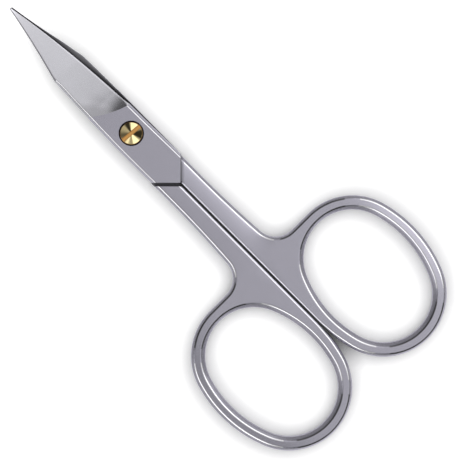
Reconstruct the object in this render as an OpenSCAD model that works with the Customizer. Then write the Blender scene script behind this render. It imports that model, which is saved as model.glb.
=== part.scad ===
// Nail scissors, 9 cm, with tower-point blades and oval finger rings, shown closed.
// The pivot axis stands on the origin and the scissors lie flat on the plane z = 0.
// The blades point along +X and the rings lie towards -X.
// The front half has its blade's back on +Y and its ring on -Y.
// The back half is the same forging turned over about X, and the screw joins them.

/* [Blades] */
// Distance from the pivot to the tips
blade_reach = 29.5; // [26:0.5:34]
// Distance from the pivot to the kink where the blades narrow to the tower point
kink_reach = 15.4; // [13:0.2:18]
// Distance from the centre line to the back of a blade at the kink
kink_half_width = 3.17; // [2.9:0.01:3.5]
// Rounding of the kink
kink_round = 0.07; // [0.03:0.01:0.15]
// Outward bulge of a blade's back between the joint and the kink
spine_bulge_height = 0.15; // [0.05:0.01:0.3]
// Depth to which the back of the tower point is ground in
tower_hollow_depth = 0.18; // [0.05:0.01:0.3]
// Outward bulge of the cutting edge
edge_belly_height = 0.48; // [0.2:0.02:0.6]
// Width of a tip
tip_width = 0.3; // [0.2:0.02:0.5]
// Sideways offset of the closed tips, towards the ring of the front half
tip_offset = 0.38; // [0:0.02:0.5]
// Thickness of a tip
tip_thickness = 0.5; // [0.4:0.05:0.7]
// Height to which the curved blades lift the tips
tip_rise = 2.4; // [0.5:0.1:3.5]
// Distance from the pivot to where the blades begin to curve
curve_start = 5; // [4:0.25:8]
// Thickness of a blade behind the sharpened facet
edge_thickness = 0.3; // [0.2:0.02:0.4]
// Width of the sharpened facet
facet_width = 0.22; // [0.12:0.02:0.3]
// Thickness left at the cutting edge
keen_thickness = 0.03; // [0.02:0.01:0.06]
// Depth of the hollow grinding on the inner faces
hollow_depth = 0.07; // [0.03:0.01:0.1]
// Distance from the pivot to the start of the grinding at the cutting edge
ricasso_reach = 3.75; // [3.2:0.05:4.5]
// Distance from the centre line to the flank of a joint plate where the grinding starts
ricasso_half_width = 3.3; // [3.2:0.02:3.5]
// Distance from the centre line to the line of the cutting edge where the grinding starts
edge_half_width = 3.15; // [2.9:0.01:3.2]
// Length of the concave run-out, over which the grinding comes down from the joint plate
plunge_length = 6.5; // [5.5:0.1:7]
// How far the start of the grinding leans towards the tip on its way to the back
plunge_lean = 3.4; // [2:0.1:4]
// Width of the fine edge break along the back of the tower point
spine_break = 0.08; // [0.04:0.01:0.15]

/* [Joint] */
// Distance from the pivot to the arrow point at the rear of the joint plates
arrow_reach = 12; // [11:0.25:14]
// Half width of the joint plates at their rear corners
joint_half_width = 3.55; // [3.5:0.05:3.8]
// Thickness of one joint plate
plate_thickness = 1.75; // [1.6:0.05:2]
// Gap between the slanted end of a joint plate and the shoulder of the other half
shoulder_gap = 0.43; // [0.3:0.01:0.6]
// Running gap between the two lapped halves
lap_gap = 0.04; // [0.02:0.01:0.08]
// Width of the bevel along the sides of the joint plates and blades
bevel_width = 0.5; // [0.3:0.05:0.7]
// Depth of that bevel
bevel_depth = 0.5; // [0.3:0.05:0.7]

/* [Handles] */
// Distance from the pivot to the far side of the rings
handle_reach = 60.5; // [56:0.5:68]
// Thickness of the shanks and rings
handle_thickness = 2.7; // [2.4:0.05:3]
// Distance from the centre line to the outer side of a shank at its waist
shank_half_width = 3.52; // [3.4:0.02:3.9]
// Gap between the closed shanks
parting_gap = 0.4; // [0.2:0.05:0.6]
// Sideways offset of that gap from the pivot, towards the ring of the back half
parting_offset = 0.1; // [0:0.02:0.2]
// Distance from the pivot to the waist of the shanks
waist_reach = 13; // [12.75:0.25:16]
// Radius of the slow curve from the waist to the neck
waist_radius = 220; // [150:5:300]
// Radius of the fillet between a shank and its ring
neck_radius = 3.9; // [2.8:0.1:4.2]
// Length of a finger hole
hole_length = 24.7; // [22:0.1:28]
// Width of a finger hole
hole_width = 18.06; // [17.4:0.02:20]
// Radius of the two ends of a finger hole
hole_end_radius = 8.35; // [7.6:0.05:8.5]
// Angle by which the rings spread away from the centre line towards the blades
ring_tilt = 3.4; // [1:0.2:6]
// Width of the ring's wire, seen from above
wire_width = 2.45; // [2.2:0.05:2.9]
// Depth of the flat where the two closed rings face each other
ring_flat = 0.1; // [0.04:0.02:0.2]
// Width of the bevel round a finger hole
hole_bevel_width = 0.75; // [0.5:0.05:0.9]
// Depth of the bevel round a finger hole
hole_bevel_depth = 0.6; // [0.4:0.05:0.8]
// Width of the bevel along the outer side of the rings and shanks
outer_bevel_width = 0.45; // [0.3:0.05:0.6]
// Depth of the bevel along the outer side of the rings and shanks
outer_bevel_depth = 0.45; // [0.3:0.05:0.6]

/* [Screw] */
// Diameter of the screw head
head_diameter = 3.86; // [3.4:0.02:4]
// Thickness of the screw head
head_thickness = 0.8; // [0.7:0.05:1]
// Height of the screw head above the joint plate
head_proud = 0.1; // [0.05:0.01:0.2]
// Height of the crown turned on the screw head
head_crown = 0.05; // [0.02:0.01:0.1]
// Edge break round the screw head and at the screw's end
screw_break = 0.1; // [0.05:0.01:0.15]
// Width of the driver slot
slot_width = 0.7; // [0.4:0.05:0.8]
// Depth of the driver slot
slot_depth = 0.4; // [0.25:0.05:0.5]
// Direction of the driver slot, measured from the blades
slot_angle = 85; // [0:5:175]
// Radial gap between the screw head and the recess round it
recess_gap = 0.22; // [0.15:0.01:0.35]
// Gap under the screw head
seat_gap = 0.02; // [0.01:0.01:0.05]
// Diameter of the plain pin on which the front half turns
pin_diameter = 2.4; // [2.2:0.05:2.8]
// Radial running clearance round the pin
pin_clearance = 0.03; // [0.01:0.01:0.06]
// Diameter of the threaded end in the back half
thread_diameter = 2; // [1.6:0.05:2.1]
// Radial gap round the threaded end
thread_clearance = 0.02; // [0.01:0.01:0.04]

/* [Hidden] */
steel = [0.66, 0.65, 0.68];
steel_back = [0.6, 0.59, 0.62];
brass = [0.85, 0.66, 0.3];
// Overrun of a cut past the face that it breaks through
overrun = 1;
// Length by which a shank runs into its own joint plate
root_length = 0.3;
// Facets along an end and along a side of a ring
end_facets = 24;
side_facets = 12;
// Facets along the waist and the neck fillet
waist_facets = 6;
neck_facets = 16;
// Share of the wire's width that the bevelled strip of the shank takes
strip_share = 0.65;
// Share of the wire's width by which the end of that strip sinks into the ring
sink_share = 0.04;
// Share of the wire's flat top that the web leaves free
web_share = 0.4;

// Rear corners of the joint plate, where its sides begin
corner_x = joint_half_width - arrow_reach;
// Plane of the inner faces, half the running gap above the lap plane
lap_z = lap_gap / 2;
// Line where the leaning run-out ends, at the back of the blade
ridge_x = ricasso_reach + plunge_lean;
// The flank steps back, and its bevel narrows, over this first share of the run-out
step_share = 0.3;
step_length = step_share * plunge_length;
// The back's bevel fades out over this length, just past the kink
fade_length = 4 * bevel_width;
fade_end = kink_reach + 2 * bevel_width;

// Finger hole: two end arcs and two side arcs that meet with a common tangent
end_step = hole_length / 2 - hole_end_radius;
side_radius = (end_step * end_step + hole_width * hole_width / 4 - hole_end_radius * hole_end_radius)
    / (hole_width - 2 * hole_end_radius);
side_step = side_radius - hole_width / 2;
// Direction in which the end arcs and side arcs meet, in the ring's own frame
join_angle = atan2(side_step, end_step);
ring_centre = [
    end_step * cos(ring_tilt) + hole_end_radius + wire_width - handle_reach,
    parting_gap / 2 - ring_flat + side_radius + wire_width - side_step * cos(ring_tilt)
];
along = [cos(ring_tilt), sin(ring_tilt)];
across = [-sin(ring_tilt), cos(ring_tilt)];
// Centres of the four arcs: blade end, far end, outer side and side of the other ring
front_centre = ring_centre + end_step * along;
far_centre = ring_centre - end_step * along;
outer_centre = ring_centre - side_step * across;
inner_centre = ring_centre + side_step * across;

// Fillets between the shank and the ring
half_thickness = handle_thickness / 2;
strip_width = wire_width * strip_share;
strip_sink = wire_width * sink_share;
web_offset = hole_bevel_width + (wire_width - hole_bevel_width - outer_bevel_width) * web_share;
front_x = front_centre.x + hole_end_radius + wire_width;
// Arcs of the finger hole: centre, radius, first and last direction, number of facets
ring_arcs = [
    [front_centre, hole_end_radius, ring_tilt - join_angle, 0, end_facets / 2],
    [front_centre, hole_end_radius, 0, ring_tilt + join_angle, end_facets / 2],
    [outer_centre, side_radius, ring_tilt + join_angle, ring_tilt + 180 - join_angle, side_facets],
    [far_centre, hole_end_radius, ring_tilt + 180 - join_angle, ring_tilt + 180 + join_angle, end_facets],
    [inner_centre, side_radius, ring_tilt + 180 + join_angle, ring_tilt + 360 - join_angle, side_facets]
];
waist_centre = [-waist_reach, shank_half_width + waist_radius];
neck_x = front_x + neck_radius;
waist_angle = asin((-waist_reach - neck_x) / (waist_radius - neck_radius));
neck_centre = [neck_x, waist_centre.y - (waist_radius - neck_radius) * cos(waist_angle)];

// Places of the web's corners, as shares of the neck fillet and of the ring's arcs
neck_shares = [0, 0.25, 0.5, 0.75, 1];
end_shares = [0, 0.2, 0.4, 0.6, 0.8, 1];
side_shares = [0.3, 0.6, 1];
// Places of the blade's cross-sections, as shares of each stretch
plate_shares = [0, 0.3, 0.6];
plunge_shares = [0, 0.05, 0.11, 0.18, 0.26, 0.36, 0.5, 0.7, 1];
body_shares = [0.15, 0.32, 0.5, 0.66, 0.8, 0.9, 0.96, 1];
tower_shares = [0.03, 0.08, 0.18, 0.3, 0.42, 0.54, 0.66, 0.78, 0.88, 0.96, 1];
// Places of the points across a cross-section, between its two bevels
face_shares = [0, 0.14, 0.32, 0.5, 0.68, 0.86, 1];
// Fullest share of a blade's width that its facet or back bevel may take
bevel_limit_share = 0.3;

function mix(a, b, s) = a + (b - a) * s;
function clamp(s) = max(0, min(1, s));
function share_of(x, a, b) = (x - a) / (b - a);
// A parabola that is zero at the ends and one in the middle
function bow(s) = 4 * s * (1 - s);
function polar(r, a) = [r * cos(a), r * sin(a)];

// The side of a half is 1 for the front one and -1 for the back one. In a half's own frame the
// closed blade leans sideways by this much.
function sideways(x, side) = -side * tip_offset * clamp(share_of(x, 0, blade_reach));
// Back of the blade: a bulged line to the kink and a hollow one to the tip, joined by a
// smooth minimum of the two
function back_of_body(x) = mix(joint_half_width, kink_half_width, share_of(x, corner_x, kink_reach))
    + spine_bulge_height * bow(share_of(x, corner_x, kink_reach));
function back_of_tower(x) =
    mix(kink_half_width, tip_width / 2, share_of(x, kink_reach, blade_reach))
    - tower_hollow_depth * bow(share_of(x, kink_reach, blade_reach));
function smooth_min(a, b, r) = (a + b) / 2 - sqrt((a - b) * (a - b) / 4 + r * r);
function spine_y(x, side) = x <= corner_x ? joint_half_width : sideways(x, side)
    + smooth_min(back_of_body(x), back_of_tower(x), kink_round * clamp(share_of(x, corner_x, kink_reach)));
// Cutting side: a straight flank along the joint plate, then the bellied cutting edge, to
// which the grinding steps back along the run-out
function flank_y(x) = -mix(joint_half_width, ricasso_half_width, clamp(share_of(x, corner_x, ricasso_reach)));
function cutting_y(x) =
    -mix(edge_half_width, tip_width / 2, share_of(x, ricasso_reach, blade_reach))
    - edge_belly_height * bow(share_of(x, ricasso_reach, blade_reach));
function run_out(s) = pow(1 - clamp(s), 3);
function flank_left(x) = run_out(share_of(x, ricasso_reach, ricasso_reach + step_length));
function edge_y(x, side) = sideways(x, side)
    + mix(cutting_y(max(x, ricasso_reach)), flank_y(x), flank_left(x));
// Lift of the curved blade, a parabola from the start of the curve
function rise(x) = tip_rise * pow(max(0, share_of(x, curve_start, blade_reach)), 2);

// Line of a cross-section: stations on the joint plate are straight, the run-out leans
// towards the tip at the back, and the lean dies away on the way to the kink
function lean(v) = plunge_lean * pow(v, 1.4);
function plunge_x(v, s) = ricasso_reach + lean(v) + plunge_length * s;
// Each station is [kind, share]: 0 joint plate, 1 run-out, 2 body of the blade, 3 tower
stations = concat(
    [[-1, 0]],
    [for (s = plate_shares) [0, s]],
    [for (s = plunge_shares) [1, s]],
    [for (s = body_shares) [2, s]],
    [for (s = tower_shares) [3, s]]
);
function station_x(st, v) =
    st[0] == -1 ? -arrow_reach - overrun
    : st[0] == 0 ? mix(corner_x, ricasso_reach, st[1])
    : st[0] == 1 ? plunge_x(v, st[1])
    : st[0] == 2 ? mix(plunge_x(v, 1), kink_reach, st[1])
    : mix(kink_reach, blade_reach, st[1]);
// How much of the joint plate's full height is left: one before the run-out, zero after
function plate_share(st) = st[0] < 1 ? 1 : st[0] > 1 ? 0 : run_out(st[1]);
// How much of the plate's bevel width is left along the cutting side
function flank_share(st) = st[0] < 1 ? 1 : st[0] > 1 ? 0 : run_out(st[1] / step_share);

function ridge_height(x) = mix(plate_thickness, tip_thickness, clamp(share_of(x, ridge_x, blade_reach)));
function hollow(x, w) = hollow_depth * clamp(share_of(x, ricasso_reach, ridge_x + step_length))
    * w / (2 * joint_half_width);
function back_bevel(x, w) = min(
    mix(spine_break, bevel_width, clamp((fade_end - x) / fade_length)),
    bevel_limit_share * w
);
function facet(x, w) = min(facet_width, bevel_limit_share * w);

// Shares of the width at which the points of a cross-section lie
function width_shares(st, side) =
    let(
        x = station_x(st, 0.5),
        w = spine_y(x, side) - edge_y(x, side),
        low = mix(facet(x, w), bevel_width, flank_share(st)) / w,
        high = 1 - back_bevel(x, w) / w
    )
    concat([0], [for (s = face_shares) mix(low, high, s)], [1]);

// Height of the outer face, from the lap plane, at point k of a cross-section
function outer_height(st, k, n, x, w) =
    let(
        g = plate_share(st),
        ridge = ridge_height(x),
        drop = back_bevel(x, w) * bevel_depth / bevel_width,
        behind = min(edge_thickness, ridge),
        ground = k == 0 ? keen_thickness
            : k == n ? ridge - drop
            : mix(behind, ridge, face_shares[k - 1]),
        plate = k == 0 || k == n ? plate_thickness - bevel_depth : plate_thickness
    )
    k == 0 || k < n ? mix(ground, plate, g) : mix(ground, plate_thickness - drop, g);

// A cross-section, first along the inner face and then back along the outer face. The front
// half's blade curves to its outer side, and the back half's to its inner side.
function section_points(st, side) =
    let(
        vs = width_shares(st, side),
        n = len(vs) - 1,
        base = [for (v = vs)
            let(x = station_x(st, v), a = edge_y(x, side), b = spine_y(x, side)) [x, mix(a, b, v), b - a]]
    )
    concat(
        [for (k = [0:n]) [
            base[k][0], base[k][1],
            lap_z + side * rise(base[k][0]) + hollow(base[k][0], base[k][2]) * bow(vs[k])
        ]],
        [for (k = [n:-1:0]) [
            base[k][0], base[k][1],
            max(lap_z + keen_thickness, outer_height(st, k, n, base[k][0], base[k][2]))
                + side * rise(base[k][0])
        ]]
    );

// Joint plate and blade in one piece, lofted through the cross-sections
module blade_loft(side) {
    rings = [for (st = stations) section_points(st, side)];
    m = len(rings[0]);
    half = m / 2;
    last = len(rings) - 1;
    sides = [for (i = [0:last - 1]) for (j = [0:m - 1])
        let(a = i * m + j, b = i * m + (j + 1) % m, c = a + m, d = b + m) each [[a, c, d], [a, d, b]]];
    rear = [for (k = [0:half - 2]) let(o = m - 1 - k) each [[k, k + 1, o - 1], [k, o - 1, o]]];
    front = [for (f = rear) [last * m + f[2], last * m + f[1], last * m + f[0]]];
    polyhedron(points = [for (r = rings) each r], faces = concat(rear, sides, front), convexity = 6);
}

// Plan of the joint plate's arrow-shaped rear, moved back by a gap, or forward where it is negative
module arrow_plan(gap) {
    point_x = -arrow_reach - gap * sqrt(2);
    side = joint_half_width + overrun;
    polygon([
        [point_x, 0], [point_x + side, side], [blade_reach, side],
        [blade_reach, -side], [point_x + side, -side]
    ]);
}

// Everything behind the arrow
module behind_arrow_plan() {
    side = joint_half_width + overrun;
    tail_x = -arrow_reach - 2 * overrun;
    polygon([
        [-arrow_reach, 0], [side - arrow_reach, side], [tail_x, side],
        [tail_x, -side], [side - arrow_reach, -side]
    ]);
}

// Section of the outer bevelled strip: u runs inward from the outline
function strip_section() = [
    [0, outer_bevel_depth - half_thickness], [outer_bevel_width, -half_thickness],
    [strip_width, -half_thickness], [strip_width, half_thickness],
    [outer_bevel_width, half_thickness], [0, half_thickness - outer_bevel_depth]
];
// Section of the ring's wire: u runs outward from the finger hole
function wire_section() = [
    [0, hole_bevel_depth - half_thickness], [hole_bevel_width, -half_thickness],
    [wire_width - outer_bevel_width, -half_thickness], [wire_width, outer_bevel_depth - half_thickness],
    [wire_width, half_thickness - outer_bevel_depth], [wire_width - outer_bevel_width, half_thickness],
    [hole_bevel_width, half_thickness], [0, half_thickness - hole_bevel_depth]
];
// A section at a point of a path: u runs in the direction a
function placed(section, at, a) = [for (p = section) [each (at + polar(p[0], a)), p[1]]];

// Solid through sections with the same number of points, closed to a loop or capped at its ends
module sweep(sections, loop) {
    n = len(sections);
    m = len(sections[0]);
    sides = [for (i = [0:(loop ? n - 1 : n - 2)]) for (j = [0:m - 1])
        [i * m + j, i * m + (j + 1) % m, (i + 1) % n * m + (j + 1) % m, (i + 1) % n * m + j]];
    caps = loop ? [] : [[for (j = [m - 1:-1:0]) j], [for (j = [0:m - 1]) (n - 1) * m + j]];
    polyhedron(points = [for (r = sections) each r], faces = concat(sides, caps), convexity = 6);
}

// Finger ring: the section of its wire carried round the finger hole
module ring_loft() {
    sweep([for (arc = ring_arcs) for (i = [0:arc[4] - 1])
        let(a = mix(arc[2], arc[3], i / arc[4]))
        placed(wire_section(), arc[0] + polar(arc[1], a), a)], true);
}

// The ring, flattened where it lies beside the other one
module ring() {
    difference() {
        ring_loft();
        translate([-handle_reach, -overrun, -handle_thickness])
            cube([handle_reach, overrun + parting_gap / 2, 2 * handle_thickness]);
    }
}

// Bevelled outer side of the neck, neck fillet, waist and shank. Its first end sinks into the ring.
module shank_strip() {
    neck_turn = [for (i = [0:neck_facets]) mix(180, 270 - waist_angle, i / neck_facets)];
    waist_turn = [for (i = [1:waist_facets]) mix(270 - waist_angle, 270, i / waist_facets)];
    sweep(concat(
        [placed(strip_section(), [front_x - strip_sink, front_centre.y], 180)],
        [for (a = neck_turn) placed(strip_section(), neck_centre + polar(neck_radius, a), a)],
        [for (a = waist_turn) placed(strip_section(), waist_centre + polar(waist_radius, a), a)],
        [placed(strip_section(), [0, shank_half_width], 270)]
    ), false);
}

// Flat web between the shank's outer strip, the parting face and the ring's rim
module shank_web() {
    flat_in = strip_width / 2 + outer_bevel_width / 2;
    join = 360 - join_angle + ring_tilt;
    neck_points = [for (s = neck_shares)
        neck_centre + polar(neck_radius + flat_in, mix(270 - waist_angle, 180, s))];
    end_points = [for (s = end_shares)
        front_centre + polar(hole_end_radius + web_offset, mix(360, join, s))];
    side_points = [for (s = side_shares)
        inner_centre + polar(side_radius + web_offset, mix(join, 270, s))];
    translate([0, 0, -half_thickness]) linear_extrude(height = handle_thickness)
        polygon(concat(
            [[inner_centre.x, parting_gap / 2], [0, parting_gap / 2],
             [0, shank_half_width - flat_in], [-waist_reach, shank_half_width - flat_in]],
            neck_points,
            [[front_x - flat_in, front_centre.y]],
            end_points, side_points
        ));
}

// Shank and ring. The half that lies in its own plate's layer runs a little into that plate, and the
// other half ends at a shoulder with a gap in front of the other half's plate.
module handle(side) {
    difference() {
        translate([0, side * parting_offset, 0]) mirror([0, 1, 0]) {
            ring();
            shank_strip();
            shank_web();
        }
        translate([0, 0, lap_z]) linear_extrude(height = handle_thickness) arrow_plan(-root_length);
        translate([0, 0, -handle_thickness]) linear_extrude(height = handle_thickness + lap_z)
            arrow_plan(shoulder_gap);
    }
}

// One forged half without its hole: joint plate with blade, shank and ring
module half_forging(side) {
    handle(side);
    difference() {
        blade_loft(side);
        translate([0, 0, -overrun]) linear_extrude(height = plate_thickness + 2 * overrun)
            behind_arrow_plan();
    }
}

// Front half: a running bore for the pin and a recess for the screw head
module front_half() {
    recess_depth = head_thickness - head_proud + seat_gap;
    color(steel) translate([0, 0, plate_thickness]) difference() {
        half_forging(1);
        translate([0, 0, -overrun])
            cylinder(h = plate_thickness + 2 * overrun, r = pin_diameter / 2 + pin_clearance, $fn = 64);
        translate([0, 0, plate_thickness - recess_depth])
            cylinder(h = recess_depth + overrun, r = head_diameter / 2 + recess_gap, $fn = 64);
    }
}

// Back half: the same forging turned over, with the tapped hole for the screw
module back_half() {
    color(steel_back) translate([0, 0, plate_thickness]) difference() {
        rotate([180, 0, 0]) half_forging(-1);
        translate([0, 0, -plate_thickness - overrun])
            cylinder(h = plate_thickness + 2 * overrun, r = thread_diameter / 2 + thread_clearance, $fn = 64);
    }
}

// Slotted screw: head, plain pin and threaded end, ground flush with the back half
module pivot_screw() {
    top = plate_thickness + head_proud;
    seat = top - head_thickness;
    color(brass) translate([0, 0, plate_thickness]) difference() {
        rotate_extrude($fn = 64) polygon([
            [0, -plate_thickness], [thread_diameter / 2 - screw_break, -plate_thickness],
            [thread_diameter / 2, screw_break - plate_thickness], [thread_diameter / 2, -lap_z],
            [pin_diameter / 2, -lap_z], [pin_diameter / 2, seat], [head_diameter / 2, seat],
            [head_diameter / 2, top - head_crown - screw_break],
            [head_diameter / 2 - screw_break, top - head_crown], [0, top]
        ]);
        rotate([0, 0, slot_angle])
            translate([-head_diameter, -slot_width / 2, top - head_crown - slot_depth])
                cube([2 * head_diameter, slot_width, slot_depth + overrun]);
    }
}

front_half();
back_half();
pivot_screw();
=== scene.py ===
import math

import bmesh
import bpy
import numpy as np
from bpy.props import FloatProperty, FloatVectorProperty, PointerProperty
from mathutils import Matrix, Vector

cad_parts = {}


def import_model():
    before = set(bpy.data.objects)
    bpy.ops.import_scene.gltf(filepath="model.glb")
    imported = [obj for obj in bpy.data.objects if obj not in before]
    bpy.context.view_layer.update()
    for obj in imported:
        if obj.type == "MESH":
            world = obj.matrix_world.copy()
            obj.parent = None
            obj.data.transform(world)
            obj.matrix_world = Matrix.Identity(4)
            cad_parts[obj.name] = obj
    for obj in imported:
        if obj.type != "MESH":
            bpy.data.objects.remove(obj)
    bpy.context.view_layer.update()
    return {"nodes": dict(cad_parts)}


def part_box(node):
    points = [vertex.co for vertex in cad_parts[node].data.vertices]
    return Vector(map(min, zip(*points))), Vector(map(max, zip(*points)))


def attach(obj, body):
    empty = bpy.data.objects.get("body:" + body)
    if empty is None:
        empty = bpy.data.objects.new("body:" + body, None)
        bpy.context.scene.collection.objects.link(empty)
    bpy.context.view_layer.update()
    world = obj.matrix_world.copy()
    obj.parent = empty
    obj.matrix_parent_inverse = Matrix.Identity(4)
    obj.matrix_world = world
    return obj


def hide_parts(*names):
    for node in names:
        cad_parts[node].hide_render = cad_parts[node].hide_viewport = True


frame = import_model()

bl_info = {
    "name": "Nail Scissors",
    "version": (1, 0, 0),
    "blender": (4, 5, 0),
    "location": "3D View > Sidebar > Scissors",
    "description": "Models and finishes a pair of nail scissors on its packed frame",
    "category": "Add Mesh",
}

MM = 0.001


def length(name, text, value):
    """A length property: the value is written in millimetres and kept in metres."""
    return FloatProperty(name=name, description=text, default=value * MM, min=0.0, unit="LENGTH",
                         precision=5)


def number(name, text, value, **more):
    """A property that is a plain number, or has the unit or subtype that is given."""
    return FloatProperty(name=name, description=text, default=value, precision=3, **more)


def colour(name, text, value):
    """A colour property without alpha."""
    return FloatVectorProperty(name=name, description=text, default=value, min=0.0, max=1.0,
                               subtype="COLOR", size=3)


class BladeSizes(bpy.types.PropertyGroup):
    """Sizes of the joint plates and blades."""
    blade_reach: length("Blade reach", "From the pivot to the blade tips", 29.5)
    kink_reach: length("Kink reach", "From the pivot to the kink in the back of a blade", 15.4)
    kink_half_width: length("Kink half width", "Half width of a blade's back at the kink", 3.3)
    kink_round: length("Kink rounding", "How softly the back turns at the kink", 0.04)
    spine_bulge: length("Back bulge", "Bulge of the back between joint plate and kink", 0.16)
    tower_hollow: length("Tower hollow", "Hollow of the back between kink and tip", 0.18)
    edge_belly: length("Edge belly", "Belly of the cutting edge", 0.48)
    tip_width: length("Tip width", "Width of a blade at its tip", 0.3)
    tip_offset: length("Tip offset", "Sideways lean of the tip of a closed blade", 0.38)
    tip_apart: length("Tips apart", "How far the back blade's tip shows beside the front one", 0.2)
    apart_length: length("Apart length", "Length behind the kink over which that grows", 4.3)
    tip_thickness: length("Tip thickness", "Thickness of a blade at its tip", 0.5)
    tip_rise: length("Tip rise", "Height by which the blades curve up at the tip", 2.4)
    tip_round: length("Tip rounding", "Length of the rounded end of a tip", 0.12)
    curve_start: length("Curve start", "From the pivot to the start of the curve", 5.0)
    edge_thickness: length("Edge thickness", "Thickness of a blade behind its facet", 0.3)
    facet_width: length("Facet width", "Width of the sharpened facet", 0.09)
    keen_thickness: length("Keen thickness", "Thickness of the cutting edge itself", 0.03)
    steepest: number("Steepest wedge", "Steepest slope of a blade's outer face", 0.17)
    hollow_depth: length("Hollow depth", "Depth of the hollow-ground inner face", 0.07)
    ricasso_reach: length("Ricasso reach", "From the pivot to the start of the grinding", 3.75)
    ricasso_half_width: length("Ricasso half width", "Half width at the start of the grinding", 3.3)
    edge_half_width: length("Edge half width", "Distance of the cutting edge's root", 3.15)
    plunge_length: length("Run-out length", "Length over which the grinding comes down", 6.5)
    step_share: number("Step share", "Share of the run-out over which the flank steps back", 0.3,
                       min=0.1, max=1.0)
    plunge_lean: length("Plunge lean", "Lean of the run-out towards the tip", 3.4)
    spine_break: length("Back edge break", "Edge break along the back behind the tip", 0.17)
    arrow_reach: length("Arrow reach", "From the pivot to the rear point of a plate", 12.0)
    joint_half_width: length("Joint half width", "Half width of the plates at the rear", 3.55)
    plate_thickness: length("Plate thickness", "Thickness of one joint plate", 1.75)
    shoulder_gap: length("Shoulder gap", "Gap between a plate's end and the shoulder", 0.43)
    lap_gap: length("Lap gap", "Running gap between the lapped plates", 0.04)
    bevel_width: length("Bevel width", "Width of the bevels along plates and blades", 0.5)
    edge_round: length("Edge rounding", "Rounding of the edges of the bevels", 0.15)
    wall_round: length("Wall rounding", "Rounding along the slanted ends of a plate", 0.1)


class HandleSizes(bpy.types.PropertyGroup):
    """Sizes of the shanks and finger rings."""
    handle_reach: length("Handle reach", "From the pivot to the far side of the rings", 60.5)
    thickness: length("Thickness", "Thickness of the shanks and rings", 2.7)
    shank_half_width: length("Shank half width", "Centre line to the outer side at the waist", 3.52)
    parting_gap: length("Parting gap", "Gap between the closed shanks", 0.4)
    parting_offset: length("Parting offset", "Sideways offset of that gap", 0.1)
    waist_reach: length("Waist reach", "From the pivot to the waist of the shanks", 13.0)
    waist_radius: length("Waist radius", "Radius of the curve from waist to neck", 220.0)
    neck_radius: length("Neck radius", "Radius of the fillet between shank and ring", 3.9)
    hole_length: length("Hole length", "Length of a finger hole", 24.7)
    hole_width: length("Hole width", "Width of a finger hole", 18.06)
    hole_end_radius: length("Hole end radius", "Radius of the ends of a finger hole", 8.35)
    ring_tilt: number("Ring tilt", "Angle by which the rings spread", math.radians(3.4),
                      subtype="ANGLE")
    wire_width: length("Wire width", "Width of the ring's wire, seen from above", 2.45)
    ring_flat: length("Ring flat", "Depth of the flat between the closed rings", 0.1)
    hole_bevel: length("Hole bevel", "Width of the bevel round a finger hole", 0.75)
    hole_bevel_depth: length("Hole bevel depth", "Depth of that bevel", 0.6)
    outer_bevel: length("Outer bevel", "Width of the bevel along the outer side", 0.52)
    outer_bevel_depth: length("Outer bevel depth", "Depth of that bevel", 0.45)
    far_bevel: length("Far bevel", "Width of the outer bevel at the far end of a ring", 0.36)
    gap_break: length("Gap edge break", "Edge break along the parting gap", 0.19)
    back_gap_break: length("Back gap edge break", "Edge break of the back half along that gap", 0.3)
    break_slope: number("Break slope", "Depth of those breaks as a share of their width", 0.45)
    front_crown: length("Front crown", "Fall of the front shank's face towards its outer side", 0.34)
    back_crown: length("Back crown", "Fall of the back shank's face towards its outer side", 0.04)
    ring_fall: number("Ring fall", "Slope of the front ring's face on its outer side", 0.14)
    back_ring_fall: number("Back ring fall", "Slope of the back ring's face there", 0.11)
    edge_round: length("Edge rounding", "Rounding of the edges of the bevels", 0.15)


class ScrewSizes(bpy.types.PropertyGroup):
    """Sizes of the holes that hold the pivot screw."""
    pin_hole: length("Pin hole", "Radius of the hole for the plain pin in the front half", 1.23)
    recess: length("Recess", "Radius of the recess round the screw's head", 2.15)
    seat: length("Seat", "Height of the recess's floor over the lap plane", 1.03)
    thread_hole: length("Thread hole", "Radius of the hole for the threaded end in the back half", 1.02)


class FinishSettings(bpy.types.PropertyGroup):
    """Colours and scales of the finishes."""
    satin: colour("Satin steel", "Colour of the blasted handles and plates", (0.62, 0.605, 0.695))
    ground: colour("Ground steel", "Colour of the ground blades", (0.66, 0.655, 0.70))
    # Lapped inner faces, darkened as painted shade; also the colour of dark walls and creases
    lapped_shade: colour("Lapped steel", "Colour of the inner faces", (0.3, 0.295, 0.32))
    # Painted highlight: the bright colour of creases that run along the scissors
    painted_highlight: colour("Burnished steel", "Colour of the polished edges", (0.93, 0.92, 0.96))
    brass: colour("Brass", "Colour of the turned screw", (0.95, 0.78, 0.42))
    slot_brass: colour("Slot brass", "Colour of the floor of the screw's slot", (0.95, 0.5, 0.16))
    slot_drop: length("Slot drop", "Depth under the screw's face at which the slot's tone begins", 0.08)
    nook_shade_reach: length("Nook reach", "Distance over which narrow places look darker", 0.7)
    grain: length("Grain", "Size of the blasted grain", 0.12)
    # Painted shade: narrow places are darkened over this distance
    line_pitch: length("Line pitch", "Pitch of the grinding lines", 0.06)


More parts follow.
